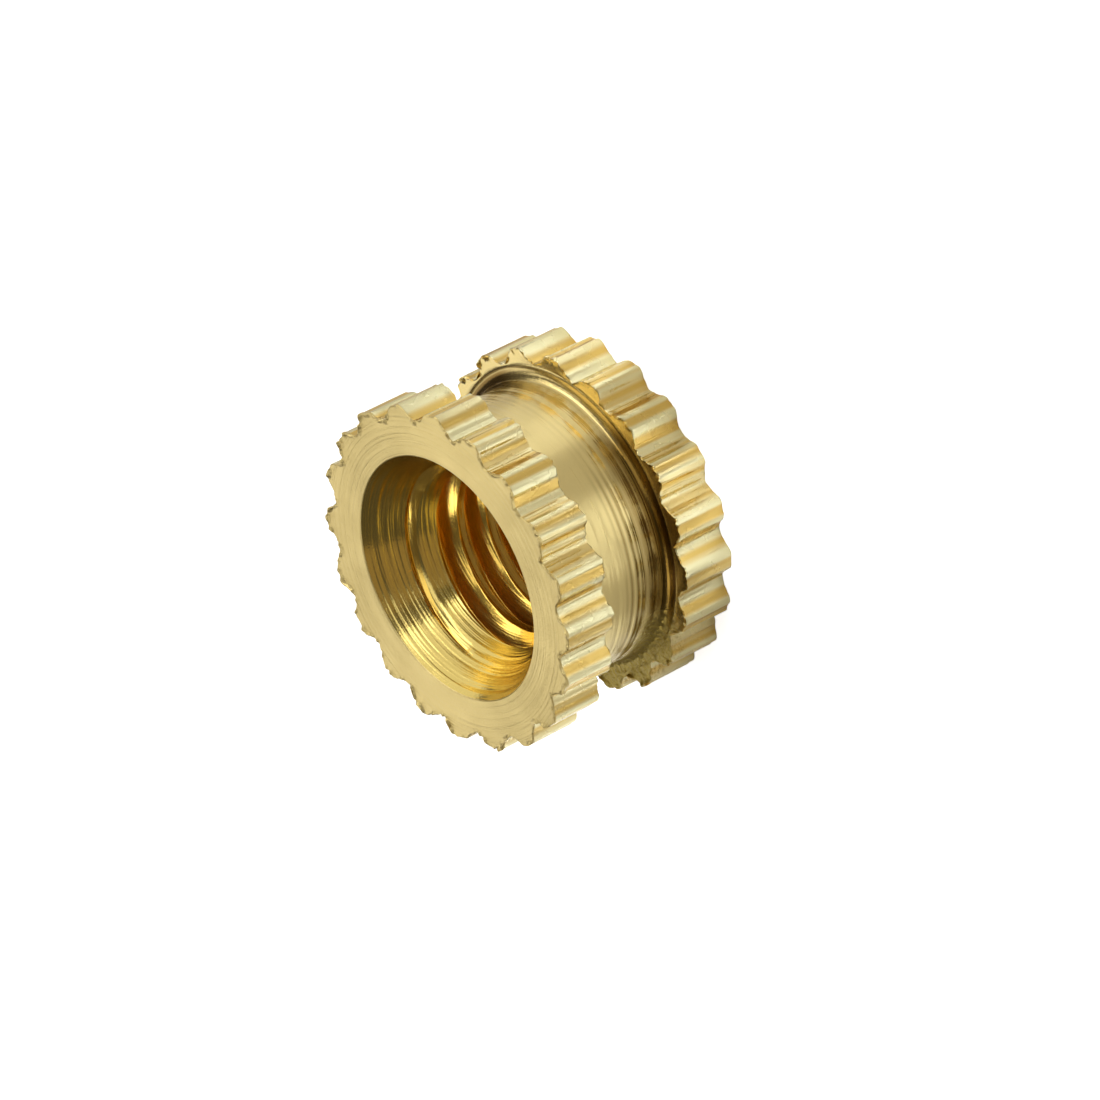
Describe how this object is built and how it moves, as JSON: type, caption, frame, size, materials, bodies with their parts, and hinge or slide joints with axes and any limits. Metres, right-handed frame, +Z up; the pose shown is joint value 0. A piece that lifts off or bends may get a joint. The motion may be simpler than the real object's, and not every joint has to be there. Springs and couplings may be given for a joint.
{
  "type": "threaded insert",
  "caption": "Round brass threaded insert with two straight-knurled collars, a plain neck between them and a countersunk through thread, for moulding or pressing into plastic.",
  "frame": {"origin": "centre of the lower end face, the one with the small lead-in", "axes": "+Z up the bore, towards the end face with the large countersink; +X through the tip of one tooth of the knurl"},
  "size_m": [0.005, 0.005, 0.003],
  "materials": {
    "brass": "bare turned brass, bright, with fine tool marks and a knurled outside"
  },
  "bodies": {
    "root": {"insert": "brass"}
  },
  "joints": []
}
